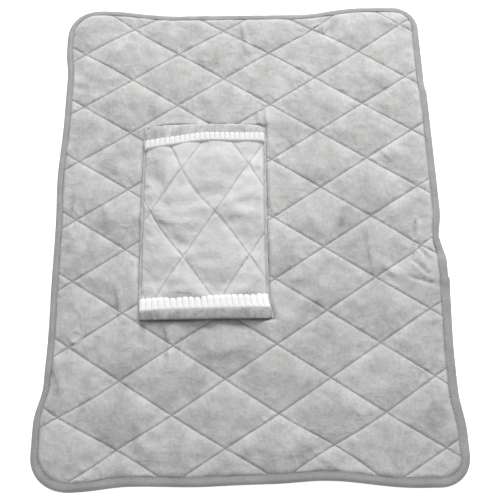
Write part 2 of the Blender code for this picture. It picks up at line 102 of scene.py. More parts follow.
class Finish:
    """One material. Its constants go straight on the shader's sockets, and its nodes come from node()."""

    def __init__(self, name, constants):
        self.material = bpy.data.materials.new(name)
        self.material.use_nodes = True
        self.tree = self.material.node_tree
        self.shader = self.tree.nodes["Principled BSDF"]
        for socket, value in constants.items():
            self.shader.inputs[socket].default_value = value

    def node(self, kind, settings=None, sockets=None, out=0):
        """A node of that kind. Settings are set first, then each socket gets its number, colour or link."""
        made = self.tree.nodes.new(kind)
        for key, value in (settings or {}).items():
            if key == "stops":
                while len(made.color_ramp.elements) < len(value):
                    made.color_ramp.elements.new(0.5)
                for element, (place, level) in zip(made.color_ramp.elements, value):
                    element.position = place
                    element.color = (level, level, level, 1)
            else:
                setattr(made, key, value)
        for key, value in (sockets or {}).items():
            if isinstance(value, Value):
                self.tree.links.new(value.socket, made.inputs[key])
            else:
                made.inputs[key].default_value = value
        return Value(self, made.outputs[out])

    def place(self, coordinates="Object", scale=(1, 1, 1)):
        """The piece's own coordinates in metres, stretched by a Mapping node."""
        source = self.node("ShaderNodeTexCoord", out=coordinates)
        return self.node("ShaderNodeMapping", None, {"Vector": source, "Scale": scale})

    def noise(self, where, scale, detail=2.0, roughness=0.5, distortion=0.0):
        return self.node("ShaderNodeTexNoise", None, {"Vector": where, "Scale": scale, "Detail": detail,
                                                      "Roughness": roughness, "Distortion": distortion})

    def ramp(self, share, *stops):
        """Grey levels at shares from 0 to 1, and straight between them."""
        return self.node("ShaderNodeValToRGB", {"stops": stops}, {"Fac": share})

    def blend(self, share, first, second):
        """A colour between the two, by share."""
        return self.node("ShaderNodeMix", {"data_type": "RGBA"}, {0: share, 6: first, 7: second}, out=2)

    def bump(self, height, distance, strength=1.0, under=None):
        sockets = {"Height": height, "Distance": distance, "Strength": strength}
        if under is not None:
            sockets["Normal"] = under
        return self.node("ShaderNodeBump", None, sockets)

    def feed(self, **links):
        """Links outputs to the shader: Base_Color stands for Base Color."""
        for socket, value in links.items():
            self.tree.links.new(value.socket, self.shader.inputs[socket.replace("_", " ")])
        return self


TABLE_HALF, TABLE_LEVEL = 4.0, -0.0006
table_finish = Finish("matt_table", {
    "Roughness": 0.9, "Emission Color": (1, 1, 1, 1), "Emission Strength": 0.62})
table_grain = table_finish.noise(table_finish.place(), 6.0)
table_finish.feed(Base_Color=table_finish.blend(table_grain, (0.90, 0.90, 0.90, 1), (0.93, 0.93, 0.93, 1)))
table_mesh = bpy.data.meshes.new("table")
table_corners = [(x * TABLE_HALF, y * TABLE_HALF, TABLE_LEVEL) for x, y in ((-1, -1), (1, -1), (1, 1), (-1, 1))]
table_mesh.from_pydata(table_corners, [], [(0, 1, 2, 3)])
table_mesh.materials.append(table_finish.material)
table = bpy.data.objects.new("table", table_mesh)
scene.collection.objects.link(table)

room = bpy.data.worlds.new("white_room")
room.use_nodes = True
room.node_tree.nodes["Background"].inputs["Color"].default_value = (1, 1, 1, 1)
room.node_tree.nodes["Background"].inputs["Strength"].default_value = 0.47
scene.world = room
scene.view_settings.view_transform = "Standard"
for lamp_name, lamp_place, lamp_size, lamp_watts in (
        ("head_softbox", (0.45, 1.95, 1.70), 1.2, 74.0),
        ("foot_softbox", (-1.10, -1.60, 2.60), 1.6, 8.0)):
    lamp_data = bpy.data.lights.new(lamp_name, "AREA")
    lamp_data.shape = "DISK"
    lamp_data.size = lamp_size
    lamp_data.energy = lamp_watts
    lamp = bpy.data.objects.new(lamp_name, lamp_data)
    towards_blanket = Vector(lamp_place).to_track_quat("Z", "Y").to_matrix().to_4x4()
    lamp.matrix_world = Matrix.Translation(lamp_place) @ towards_blanket
    scene.collection.objects.link(lamp)


# Quilt. Grey short-pile velvet over polyester wadding, backed with the same cloth and stitched through in
# diamonds 152 by 100 mm. The wadding swells between the stitch lines. It is one blanket, made as two pieces
# that meet under the pocket, because a fold line crosses each of them.
HALF_DIAMOND = np.array([0.0762, 0.050])
PHASE = (3.5, 6.84)  # half diamonds from a crossing of stitch lines to the blanket's middle, across and along
STEPS = 14  # steps of the net in half a diamond, so that its squares meet the stitch lines at their corners
GROOVE_LEVEL = 0.0092  # the height of the face at a stitch line
INSET = 0.005  # how far inside the blanket's edge the rim of its face and back runs, under the binding
BLOWING_STEPS = 20
SEAM_REACH = 0.025  # the distance from a stitch line that counts as 1 in the velvet's shading
FACE_X, FACE_Y = np.meshgrid((np.arange(-5, 104) / STEPS - PHASE[0]) * HALF_DIAMOND[0],
                             (np.arange(-13, 206) / STEPS - PHASE[1]) * HALF_DIAMOND[1])
HALF_WIDTH, HALF_LENGTH = FACE_X.max(), 0.3893


def ease(t):
    """0 below 0, 1 above 1, and 3t^2 - 2t^3 between."""
    t = np.clip(t, 0, 1)
    return t * t * (3 - 2 * t)


def swell(x, centre, width):
    """A bell: 1 at the centre, falling as exp(-(distance / width)^2)."""
    return np.exp(-((x - centre) / width) ** 2)


def right_edge(y):
    """The blanket's right edge: a gentle wave, with a notch drawn in above the lapped end of the binding."""
    notch = ease((0.018 - y) / 0.050) * ease((y + 0.060) / 0.026)
    wave = 0.0025 * swell(y, -0.095, 0.035) - 0.0030 * ease((-0.130 - y) / 0.090)
    wave = wave + 0.0065 * ease((-0.262 - y) / 0.060)
    return 0.3005 - 0.0028 * ease((y - 0.225) / 0.020) + wave - 0.0066 * notch


def left_edge(y):
    """The left edge's distance from the middle: straight, but wider at the foot and a little at the head."""
    wave = 0.0035 * swell(y, 0.085, 0.060) - 0.0015 * swell(y, -0.170, 0.050)
    return 0.3005 + wave + 0.0050 * ease((y - 0.270) / 0.050) + 0.0105 * ease((-0.245 - y) / 0.055)


def head_edge(x):
    """The head end bows in towards the middle."""
    return 0.387 + 0.0125 * (ease((-0.120 - x) / 0.130) + ease((x - 0.090) / 0.110))


def foot_edge(x):
    """The foot end bows in less, most to the right of the middle."""
    wave = 0.0020 * swell(x, -0.080, 0.050) - 0.0035 * swell(x, 0.095, 0.045)
    return 0.3865 + wave + 0.0080 * ease((x - 0.120) / 0.110) + 0.0065 * ease((-0.170 - x) / 0.080)


def corner_radius(x):
    """The rim's corners are a little rounder on the left than on the right."""
    return np.where(x > 0, 0.038, 0.046)


def inset_of(x, y):
    """How far a point lies inside the blanket's edge, its corners being arcs."""
    side = np.where(x > 0, right_edge(y) - x, left_edge(y) + x)
    end = np.where(y > 0, head_edge(x) - y, foot_edge(x) + y)
    bend = corner_radius(x) + INSET
    corner = bend - np.hypot(np.maximum(bend - side, 0), np.maximum(bend - end, 0))
    return np.where((side < bend) & (end < bend), corner, np.minimum(side, end))


def laid_out(x, y):
    """Flat quilting coordinates to the blanket as it lies: the corners of the flat rectangle are rounded, and
    then its outer parts are pushed out or in, so that its rim runs 5 mm inside the blanket's edge."""
    bend = corner_radius(x)
    u = np.clip((np.abs(x) - HALF_WIDTH + bend) / bend, 0, 1)
    v = np.clip((np.abs(y) - HALF_LENGTH + bend) / bend, 0, 1)
    across = np.abs(x) + bend * u * (np.sqrt(1 - v * v / 2) - 1)
    along = np.abs(y) + bend * v * (np.sqrt(1 - u * u / 2) - 1)
    spread = ease((across - 0.20) / (HALF_WIDTH - 0.20))
    side = np.where(x > 0, right_edge(y), left_edge(y))
    across = across + spread * side - spread * (HALF_WIDTH + INSET)
    rise = ease((along - 0.28) / (HALF_LENGTH - 0.28))
    end = np.where(y > 0, head_edge(x), foot_edge(x))
    along = along + rise * (end - INSET - HALF_LENGTH)
    return np.sign(x) * across, np.sign(y) * along


def stitch_gap(x, y, half, phase):
    """Distance to the nearest stitch line of a diamond quilting with that half diamond."""
    a, b = x / half[0] + phase[0], y / half[1] + phase[1]
    slope = np.hypot(1 / half[0], 1 / half[1])
    return np.minimum(np.abs((a + b) % 2 - 1), np.abs((b - a) % 2 - 1)) / slope


def drift(x, y, shortest, longest, seed, waves=28):
    """A smooth random field: a sum of cosines of random direction, phase and wavelength, about 1 at most."""
    dice = np.random.default_rng(seed)
    length = np.exp(dice.uniform(np.log(shortest), np.log(longest), waves))
    angle = dice.uniform(0, np.pi, waves)
    phase = dice.uniform(0, 2 * np.pi, waves)
    total = np.zeros_like(x)
    for wavelength, direction, start in zip(length, angle, phase):
        total += np.cos(2 * np.pi * (x * np.cos(direction) + y * np.sin(direction)) / wavelength + start)
    return total / np.sqrt(2 * waves)


def grid_faces(rows, columns, first=0, flip=False):
    """The quads of a grid of points, row by row."""
    index = first + np.arange(rows * columns).reshape(rows, columns)
    quads = np.stack([index[:-1, :-1], index[:-1, 1:], index[1:, 1:], index[1:, :-1]], -1).reshape(-1, 4)
    return quads[:, ::-1] if flip else quads


def seam_faces(gap, first=0, flip=False):
    """The triangles of a grid of points. Each square is cut along the diagonal nearer to a stitch line, so
    that edges of the mesh run along the stitches."""
    index = first + np.arange(gap.size).reshape(gap.shape)
    a, b, c, d = index[:-1, :-1], index[:-1, 1:], index[1:, 1:], index[1:, :-1]
    rising = (gap[:-1, :-1] + gap[1:, 1:] < gap[:-1, 1:] + gap[1:, :-1])[..., None]
    halves = [np.where(rising, np.stack([a, b, c], -1), np.stack([a, b, d], -1)),
              np.where(rising, np.stack([a, c, d], -1), np.stack([b, c, d], -1))]
    triangles = np.concatenate(halves).reshape(-1, 3)
    return triangles[:, ::-1] if flip else triangles


def rim_wall(tall, wide):
    """The quads that join the rims of two grids of one size, the second's points following the first's."""
    index = np.arange(tall * wide).reshape(tall, wide)
    rim = np.concatenate([index[0, :-1], index[:-1, -1], index[-1, :0:-1], index[:0:-1, 0]])
    return np.stack([rim, rim + tall * wide, np.roll(rim, -1) + tall * wide, np.roll(rim, -1)], -1)


def make_piece(name, points, faces, finish, uv=None):
    """A smooth mesh object from an array of points and a list of faces, with a UV in metres for each point."""
    mesh = bpy.data.meshes.new(name)
    mesh.from_pydata(points.tolist(), [], faces)
    mesh.shade_smooth()
    mesh.materials.append(finish.material)
    if uv is not None:
        corner = np.empty(len(mesh.loops), np.int32)
        mesh.loops.foreach_get("vertex_index", corner)
        layer = mesh.uv_layers.new(name="cloth")
        layer.data.foreach_set("uv", uv[corner].astype(np.float32).ravel())
    piece = bpy.data.objects.new(name, mesh)
    scene.collection.objects.link(piece)
    return piece


def slab(name, front, rear, finish, uv, cut_along=None):
    """A closed slab between two grids of one size, joined round their rim. Where cut_along gives the distance
    from the stitches, its squares are cut along them."""
    tall, wide = front.shape[:2]
    if cut_along is None:
        faces = grid_faces(tall, wide).tolist() + grid_faces(tall, wide, tall * wide, True).tolist()
    else:
        faces = seam_faces(cut_along).tolist() + seam_faces(cut_along, tall * wide, True).tolist()
    faces += rim_wall(tall, wide).tolist()
    flat = uv.reshape(-1, 2)
    return make_piece(name, np.concatenate([front.reshape(-1, 3), rear.reshape(-1, 3)]), faces, finish,
                      np.concatenate([flat, flat + [1.0, 0.0]]))


def mark(piece, name, *values):
    """Gives each point of a piece one number, which its finish reads by that name."""
    layer = piece.data.attributes.new(name, "FLOAT", "POINT")
    layer.data.foreach_set("value", np.concatenate([value.ravel() for value in values]).astype(np.float32))


def running_length(points):
    """The distance walked along a line of points, at each of them."""
    return np.concatenate([[0], np.cumsum(np.linalg.norm(np.diff(points, axis=0), axis=1))])


def inflate(x, y, held, slack, seed):
    """Sewn cloth over swelling wadding: a flat net, held at its stitches, is blown up by the cloth
    solver."""
    points = np.stack([x, y, np.random.default_rng(seed).normal(0, 0.0001, x.shape)], -1)
    net = bpy.data.meshes.new("net")
    net.from_pydata(points.reshape(-1, 3).tolist(), [], grid_faces(*x.shape).tolist())
    cloth = bpy.data.objects.new("net", net)
    scene.collection.objects.link(cloth)
    cloth.vertex_groups.new(name="held").add(np.flatnonzero(held).tolist(), 1.0, "REPLACE")
    solver = cloth.modifiers.new("cloth", "CLOTH")
    set_up = solver.settings
    set_up.quality = 5
    set_up.mass = 0.3
    set_up.tension_stiffness = 15
    set_up.compression_stiffness = 15
    set_up.bending_stiffness = 30
    set_up.vertex_group_mass = "held"
    set_up.use_pressure = True
    set_up.uniform_pressure_force = 12
    set_up.shrink_min = -slack
    set_up.effector_weights.gravity = 0
    solver.point_cache.frame_start = 1
    solver.point_cache.frame_end = BLOWING_STEPS
    for moment in range(1, BLOWING_STEPS + 1):
        scene.frame_set(moment)
    blown = cloth.evaluated_get(bpy.context.evaluated_depsgraph_get()).data
    place = np.empty(len(blown.vertices) * 3, np.float32)
    blown.vertices.foreach_get("co", place)
    scene.frame_set(1)
    bpy.data.objects.remove(cloth)
    bpy.data.meshes.remove(net)
    return place.reshape(*x.shape, 3)[..., 2].astype(float)


def finer(z):
    """Twice as many rows and columns, by the cubic B-spline rule: each old value is eased towards its two
    neighbours, and a new value stands halfway between two old ones."""
    for _ in range(2):
        eased = z.copy()
        eased[1:-1] = (z[:-2] + 6 * z[1:-1] + z[2:]) / 8
        fine = np.empty((2 * z.shape[0] - 1, *z.shape[1:]))
        fine[::2] = eased
        fine[1::2] = (z[:-1] + z[1:]) / 2
        z = fine.swapaxes(0, 1)
    return z


def pillow(gap, reach, height):
    """The height of wadding between stitch lines: it climbs fast beside the stitches and levels off."""
    return height * (1 - (1 - np.clip(gap / reach, 0, 1)) ** 2) ** 0.8


def crease(x, y, start, end, depth, width):
    """A fold pressed in between two points: a valley across that line with a low ridge on each side of it,
    fading out towards both ends."""
    way = np.array(end) - np.array(start)
    length = np.hypot(*way)
    along = ((x - start[0]) * way[0] + (y - start[1]) * way[1]) / length ** 2
    off = np.abs((x - start[0]) * way[1] - (y - start[1]) * way[0]) / length
    fade = ease(along / 0.3 + 0.5) * ease((1 - along) / 0.3 + 0.5)
    return fade * depth * (0.45 * swell(off, 2.4 * width, 1.5 * width) - swell(off, 0, width))


def fold_gap(x, y, start, end):
    """Distance to the line between two points, for the painted shade in a fold. Beyond them it grows fast."""
    way = np.array(end) - np.array(start)
    length = np.hypot(*way)
    along = ((x - start[0]) * way[0] + (y - start[1]) * way[1]) / length
    off = np.abs((x - start[0]) * way[1] - (y - start[1]) * way[0]) / length
    return 0.5 * np.hypot(off, 2 * np.maximum(np.abs(along - length / 2) - length / 2, 0)) + 0.0003


def at_least(low, z):
    """The larger of the two, with the corner between them rounded over half a millimetre."""
    return (low + z + np.sqrt((low - z) ** 2 + 0.0005 ** 2)) / 2


def tape_width(x, y):
    """How far the binding reaches in from the edge: least at the notch on the right, most at the foot."""
    notch = ease((0.005 - y) / 0.025) * ease((y + 0.052) / 0.020)
    right = 0.0118 - 0.0016 * notch + 0.0034 * ease((-0.044 - y) / 0.024)
    right = right - 0.0012 * ease((-0.115 - y) / 0.040)
    side = np.where(x > 0, right, 0.0105 - 0.0014 * swell(y, -0.265, 0.030))
    end = np.where(y > 0, 0.0105, 0.0128)
    return side + (end - side) * ease((np.abs(y) - 0.320) / 0.050)


POCKET_LOW = -0.1545
POCKET_MIDDLE_Y = 0.0065


def pocket_left(y):
    """Where the pocket's left side is sewn to the face."""
    return -0.1640 - 0.0008 * np.cos((y - 0.02) * 18)


def pocket_right(y):
    """Where its right side is sewn, which spreads a little at the foot."""
    return 0.0252 + 0.0055 * ease((-0.120 - y) / 0.034) - 0.0006 * np.cos((y + 0.03) * 20)


def blown_up(x, y, half, phase, slack, seed, pillow_height):
    """Quilting on a net of flat points, held along its stitch lines and round its rim. Gives twice as many
    points each way, their distance to the nearest stitch line and the height that wadding lifts them to."""
    held = stitch_gap(x, y, half, phase) < 1e-6
    held[:2] = held[-2:] = held[:, :2] = held[:, -2:] = True
    lifted = inflate(x, y, held, slack, seed)
    fine_x, fine_y = np.meshgrid(np.linspace(x[0, 0], x[0, -1], 2 * x.shape[1] - 1),
                                 np.linspace(y[0, 0], y[-1, 0], 2 * x.shape[0] - 1))
    near = stitch_gap(fine_x, fine_y, half, phase)
    return fine_x, fine_y, near, pillow(near, 0.036, pillow_height) if lifted is None else finer(lifted)


# The face: the swollen wadding, a fine groove at each stitch line, a broad unevenness, and pleats that bunch
# up beside the lines. Then single folds, the place where the pocket's seams press it flat, the disc
# thermostat and the inlet that push it up, and its edge, which runs down under the binding.
FINE_X, FINE_Y, gap, puff = blown_up(FACE_X, FACE_Y, HALF_DIAMOND, PHASE,
                                     slack=0.010, seed=4, pillow_height=0.0055)
puff = 0.86 * puff + 0.0011 * (1 - np.exp(-gap / 0.0035))
lie_x, lie_y = laid_out(FINE_X, FINE_Y)
inset = inset_of(lie_x, lie_y)
tape = tape_width(lie_x, lie_y)

beside_stitch = np.exp(-gap / 0.008)
face_z = GROOVE_LEVEL + puff - 0.0009 * np.exp(-(gap / 0.0016) ** 2)
face_z += 0.00045 * drift(FINE_X, FINE_Y, 0.020, 0.060, 11) * (1 - beside_stitch)
for family in (1, -1):
    line = FINE_Y / HALF_DIAMOND[1] + PHASE[1] + family * (FINE_X / HALF_DIAMOND[0] + PHASE[0])
    beyond = (line % 2 - 1) / np.hypot(1 / HALF_DIAMOND[0], 1 / HALF_DIAMOND[1])
    run = (FINE_X * HALF_DIAMOND[0] - family * FINE_Y * HALF_DIAMOND[1]) / np.hypot(*HALF_DIAMOND)
    which = 0.37 * np.round((line - 1) / 2) + 0.11 * np.sign(beyond)
    pleat = drift(run, which, 0.009, 0.022, 15 + family)
    bunched = ease(0.35 + 0.9 * drift(FINE_X, FINE_Y, 0.05, 0.16, 17 + family))
    pucker = 0.0011 * pleat - 0.0010 * np.exp(-(pleat / 0.30) ** 2)
    face_z += pucker * bunched * np.exp(-np.abs(beyond) / 0.0095) * (1 - np.exp(-(gap / 0.0030) ** 2))
folded_gap = np.full_like(gap, SEAM_REACH)
for fold_from, fold_to, depth, width in (
        ((0.2575, -0.004), (0.2545, -0.030), 0.0026, 0.0028),
        ((0.2530, -0.040), (0.2500, -0.064), 0.0028, 0.0028),
        ((0.2590, -0.044), (0.2740, -0.066), 0.0028, 0.0028),
        ((0.2480, -0.064), (0.2700, -0.088), 0.0026, 0.0028),
        ((0.2440, -0.094), (0.2780, -0.104), 0.0014, 0.0030),
        ((0.0265, 0.170), (0.0255, 0.206), 0.0030, 0.0028),
        ((-0.1585, -0.156), (-0.1605, -0.190), 0.0026, 0.0028)):
    face_z += crease(lie_x, lie_y, fold_from, fold_to, depth, width)
    folded_gap = np.minimum(folded_gap, fold_gap(lie_x, lie_y, fold_from, fold_to))
pocket_middle = (pocket_left(lie_y) + pocket_right(lie_y)) / 2
pocket_reach = (pocket_right(lie_y) - pocket_left(lie_y)) / 2 + 0.0037
pocket_share = (lie_x - pocket_middle) / pocket_reach
pocket_top = 0.1688 - 0.0025 * np.abs(pocket_share) ** 3 - 0.0060 * swell(pocket_share, -1, 0.09)
pocket_gap = 0.6 * np.maximum(np.abs(lie_x - pocket_middle) - pocket_reach,
                              np.maximum(lie_y - pocket_top, POCKET_LOW - lie_y))
sewn_down = np.exp(-((pocket_gap + 0.0018) / 0.0037) ** 4)
face_z -= (face_z - 0.0098) * 0.80 * sewn_down * ease((0.168 - np.abs(lie_y - POCKET_MIDDLE_Y)) / 0.008)
disc = np.hypot(lie_x + 0.257, lie_y + 0.177)
face_z = at_least(0.0108 * ease((0.0135 - disc) / 0.003), face_z) + 0.0012 * swell(disc, 0.0085, 0.0020)
inlet_y = (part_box("inlet_housing")[0].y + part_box("inlet_housing")[1].y) / 2
over_inlet = ease((lie_x - 0.244) / 0.010) * ease((0.032 - np.abs(lie_y - inlet_y)) / 0.018)
face_z = at_least(0.0084 + 0.0040 * over_inlet, face_z)
rim_level = 0.0081 + 0.0039 * over_inlet
face_z = rim_level + (face_z - rim_level) * np.sqrt(ease((inset - tape + 0.0010) / 0.0075))
back_z = 0.0003 + 0.0015 * np.exp(-(gap / 0.0025) ** 2) + 0.0002 * (1 + drift(FINE_X, FINE_Y, 0.02, 0.06, 13))
back_z += (0.0016 - back_z) * ease((tape + 0.003 - inset) / 0.003)

quilt_face = np.stack([lie_x, lie_y, face_z], -1)
quilt_back = np.stack([lie_x, lie_y, back_z], -1)


def facing(surface):
    """The unit normal at each point of a grid, from the differences between its neighbours."""
    normal = np.cross(np.gradient(surface, axis=1), np.gradient(surface, axis=0))
    return normal / np.linalg.norm(normal, axis=-1, keepdims=True)


def velvet(name, dark, light, groove, grain=1.0, line=1.0):
    """Short grey pile. Clouds, streaks and grain of brushed nap vary its shade, and thin soft wrinkles run here
    and there through it, shown by bumps and by a painted highlight beside painted shade. A painted highlight
    makes it lighter where it rises beside a stitch line. Painted shade makes it dark in the line, in the groove
    colour, and a little darker towards the middle of each diamond."""
    pile = Finish(name, {
        "Roughness": 0.92, "Sheen Weight": 0.25, "Sheen Roughness": 0.35, "Specular IOR Level": 0.15})
    cloth = pile.place("UV")
    clouds = pile.noise(cloth, 13.0, 3.0, 0.55, 0.3)
    brushed = pile.noise(pile.place("UV", (0.85, 1.0, 1.0)), 46.0, 4.0, 0.58, 0.5)
    strokes = pile.noise(pile.place("UV", (1.0, 0.40, 1.0)), 240.0, 3.0, 0.6, 0.2)
    ruffle = pile.noise(pile.place("UV", (1.0, 1.3, 1.0)), 85.0, 2.0, 0.5, 1.2)
    tufts = pile.noise(cloth, 800.0, 3.0, 0.8)
    seam = pile.node("ShaderNodeAttribute", {"attribute_name": "stitch_gap"}, out="Fac")
    wander = (pile.noise(pile.place("UV", (1.0, 0.45, 1.0)), 15.0, 1.0, 0.4, 0.6) - 0.5) * 13.0
    here = pile.noise(cloth, 15.0, 1.0)
    here = pile.node("ShaderNodeMapRange", None, {"Value": here, "From Min": 0.42, "From Max": 0.58})
    steep = wander * wander * wander * wander + 1.0
    shade = 0.5 + 0.62 * (clouds - 0.5) + grain * 0.80 * (brushed - 0.5) + grain * 0.55 * (strokes - 0.5)
    # The last term paints a light stripe beside a dark one along each soft fold: a painted highlight and
    # painted shade.
    shade = shade + grain * 0.70 * (tufts - 0.5) + 0.20 * here * wander / steep
    # Painted highlight and shade from the distance to the nearest line: dark in it, lighter on the rise beside
    # it, a little darker towards the middle of each diamond.
    rim = pile.ramp(seam, (0.0, 0.3), (0.04, 0.52), (0.12, 0.74), (0.26, 0.62), (0.50, 0.50), (1.0, 0.44))
    colour = pile.blend(shade + 0.60 * (rim - 0.5), dark, light)
    # Painted shade in the line itself, blended towards the groove colour.
    painted_shade = pile.ramp(seam, (0.0, 0.60 * line), (0.018, 0.28 * line), (0.042, 0.0))
    colour = pile.blend(painted_shade, colour, groove)
    sunk = pile.ramp(seam, (0.0, 0.0), (0.035, 0.45), (0.08, 0.8), (0.16, 1.0))
    nap = pile.bump(strokes, 0.0006, 0.5, pile.bump(tufts, 0.00035, 0.7))
    nap = pile.bump(ruffle, 0.0018, 0.5, pile.bump(brushed, 0.0030, 0.6, nap))
    nap = pile.bump(here / steep, 0.0036, 0.6, nap)
    nap = pile.bump(sunk, 0.0009, 0.7, nap)
    return pile.feed(Base_Color=colour, Normal=nap)


# The last colour is the painted shade in the stitch lines.
face_velvet = velvet("grey_velvet", (0.270, 0.269, 0.267, 1), (0.600, 0.597, 0.593, 1), (0.16, 0.16, 0.16, 1))


def quilt_piece(name, rows):
    """A closed slab from some rows of the face and of the back. It carries the normals of the whole quilt, so
    that the line where two pieces meet doesn't show."""
    flat = np.stack([FINE_X[rows], FINE_Y[rows]], -1) + 0.5
    piece = slab(name, quilt_face[rows], quilt_back[rows], face_velvet, flat, gap[rows])
    # The face's painted shade and highlight follow the distance to the nearest stitch line, fold, inner edge of
    # the binding or outline of the pocket: painted shade in the folds, along the binding and in a crevice round
    # the pocket.
    edges = np.minimum(np.minimum(inset - tape, folded_gap), pocket_gap)
    near = np.clip(np.minimum(gap, edges)[rows] / SEAM_REACH, -1, 1)
    mark(piece, "stitch_gap", near, gap[rows] / SEAM_REACH)
    front, rear = facing(quilt_face)[rows], -facing(quilt_back)[rows]
    turned = np.concatenate([front.reshape(-1, 3), rear.reshape(-1, 3)])
    piece.data.normals_split_custom_set_from_vertices(turned.tolist())
    return piece


MEETING_ROW = 208
MEETING_Y = FINE_Y[MEETING_ROW, 0]
LAYERS = ("face_fabric_", "face_wadding_", "back_wadding_", "back_fabric_")
quilt_upper = quilt_piece("quilt_upper", slice(MEETING_ROW, None))
quilt_lower = quilt_piece("quilt_lower", slice(0, MEETING_ROW + 1))
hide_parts(*[layer + end for layer in LAYERS for end in ("upper", "middle")])
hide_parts(*[layer + "lower" for layer in LAYERS])


def bend_up(piece):
    """Cloth that crosses the upper fold line. Only its transform is baked into its points."""
    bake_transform(piece)


def bend_down(piece):
    """Cloth that crosses the lower fold line. Only its transform is baked into its points."""
    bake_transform(piece)


bend_up(quilt_upper)
bend_down(quilt_lower)


# Heater carrier. A thin white nonwoven sheet inside the blanket, which the heating wire is sewn to. It is cut
# about 11 mm smaller than the blanket all round.
CARRIER_LEVEL, CARRIER_THICK = 0.0051, 0.0008
carrier_finish = Finish("heater_nonwoven", {"Roughness": 0.8})
carrier_place = carrier_finish.place("UV")
fleece = carrier_finish.noise(carrier_place, 420.0, 4.0, 0.7, 1.5)
pressed = carrier_finish.node("ShaderNodeTexVoronoi", None, {"Vector": carrier_place, "Scale": 420.0})
carrier_finish.feed(
    Base_Color=carrier_finish.blend(fleece, (0.62, 0.62, 0.60, 1), (0.86, 0.86, 0.84, 1)),
    Normal=carrier_finish.bump(pressed, 0.0002, 0.5))


def carrier_piece(name, rows):
    """Some rows of the blanket's outline, shrunk towards its middle, as a slab from 5.1 to 5.9 mm."""
    x, y = lie_x[rows, ::4] * 0.978, lie_y[rows, ::4] * 0.984
    top = np.stack([x, y, np.full_like(x, CARRIER_LEVEL + CARRIER_THICK)], -1)
    piece = slab(name, top, top - [0, 0, CARRIER_THICK], carrier_finish, top[..., :2] + 0.5)
    piece.data.set_sharp_from_angle(angle=0.8)
    return piece


carrier_upper = carrier_piece("heater_sheet_upper", slice(MEETING_ROW, None, 4))
carrier_lower = carrier_piece("heater_sheet_lower", slice(0, MEETING_ROW + 1, 4))
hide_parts("heater_carrier_upper", "heater_carrier_middle")
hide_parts("heater_carrier_lower")
bend_up(carrier_upper)
bend_down(carrier_lower)


# Quilting thread. Grey polyester in running stitches, one every 4.2 mm along every diamond line, pulled down
# into the velvet until only its back shows.
PITCH = 0.0042
STITCH = 0.0033
THREAD = 0.0005
UP = np.array([0.0, 0.0, 1.0])
JUST_CLEAR = 0.0001 * UP


def on_grid(surface, x, y, flat_x=FINE_X, flat_y=FINE_Y):
    """The surface over flat points x, y, interpolated between the four grid points round each."""
    column = np.clip((x - flat_x[0, 0]) / (flat_x[0, 1] - flat_x[0, 0]), 0, surface.shape[1] - 1.001)
    row = np.clip((y - flat_y[0, 0]) / (flat_y[1, 0] - flat_y[0, 0]), 0, surface.shape[0] - 1.001)
    k, l = column.astype(int), row.astype(int)
    s, t = (column - k)[:, None], (row - l)[:, None]
    return ((surface[l, k] * (1 - s) + surface[l, k + 1] * s) * (1 - t)
            + (surface[l + 1, k] * (1 - s) + surface[l + 1, k + 1] * s) * t)


def diamond_stitches(half, phase, numbers, left, right):
    """The flat start and end of each stitch along both families of diamond lines, between two values of x.
    Line n has y / half_y = n - phase_y - (x / half_x + phase_x), or the same with a plus."""
    pitch_x = PITCH * half[0] / np.hypot(*half)
    starts = []
    for family in (1, -1):
        for number in numbers:
            x = np.arange(left, right, pitch_x)
            y = (number - family * (x / half[0] + phase[0]) - phase[1]) * half[1]
            starts.append(np.stack([x, y, np.full_like(x, -family)], -1))
    x, y, slope = np.concatenate(starts).T
    step_x = STITCH * half[0] / np.hypot(*half)
    step_y = step_x * half[1] / half[0] * slope
    return x, y, x + step_x, y + step_y


def stitch_points(starts, ends, out, thickness):
    """One small spindle for each stitch: three rings of four points and two tips, thickest in the middle and
    sunk at both ends."""
    way = ends - starts
    length = np.linalg.norm(way, axis=1, keepdims=True)
    way = way / length
    side = np.cross(way, out)
    side /= np.linalg.norm(side, axis=1, keepdims=True)
    rings = [starts - out * thickness * 0.9]
    for share, girth, sink in ((0.14, 0.75, 0.25), (0.5, 1.0, 0.0), (0.86, 0.75, 0.25)):
        middle = starts + way * length * share - out * thickness * sink
        for turn in (0.25, 0.75, 1.25, 1.75):
            away = side * np.cos(np.pi * turn) + out * np.sin(np.pi * turn)
            rings.append(middle + away * girth * thickness / 2)
    rings.append(ends - out * thickness * 0.9)
    return np.stack(rings, 1)


SPINDLE_QUADS = np.array([[1 + 4 * r + c, 1 + 4 * r + (c + 1) % 4, 5 + 4 * r + (c + 1) % 4, 5 + 4 * r + c]
                          for r in range(2) for c in range(4)])
SPINDLE_TIPS = np.array([[0, 1 + (c + 1) % 4, 1 + c] for c in range(4)]
                        + [[13, 9 + c, 9 + (c + 1) % 4] for c in range(4)])


def stitch_piece(name, starts, ends, thickness, finish, out=UP):
    """All the stitches of one seam as one piece."""
    points = stitch_points(starts, ends, out, thickness)
    first = np.arange(len(points))[:, None, None] * points.shape[1]
    faces = (first + SPINDLE_QUADS).reshape(-1, 4).tolist() + (first + SPINDLE_TIPS).reshape(-1, 3).tolist()
    return make_piece(name, points.reshape(-1, 3), faces, finish)


def thread(name, dark, light):
    """Spun polyester: two plies that wind round each other, shown by fine slanting bands."""
    yarn = Finish(name, {"Roughness": 0.55, "Sheen Weight": 0.2, "Sheen Roughness": 0.4})
    plies = yarn.noise(yarn.place("Object", (1.0, 1.0, 3.0)), 1500.0, 2.0)
    return yarn.feed(Base_Color=yarn.blend(plies, dark, light), Normal=yarn.bump(plies, 0.0001, 0.6))


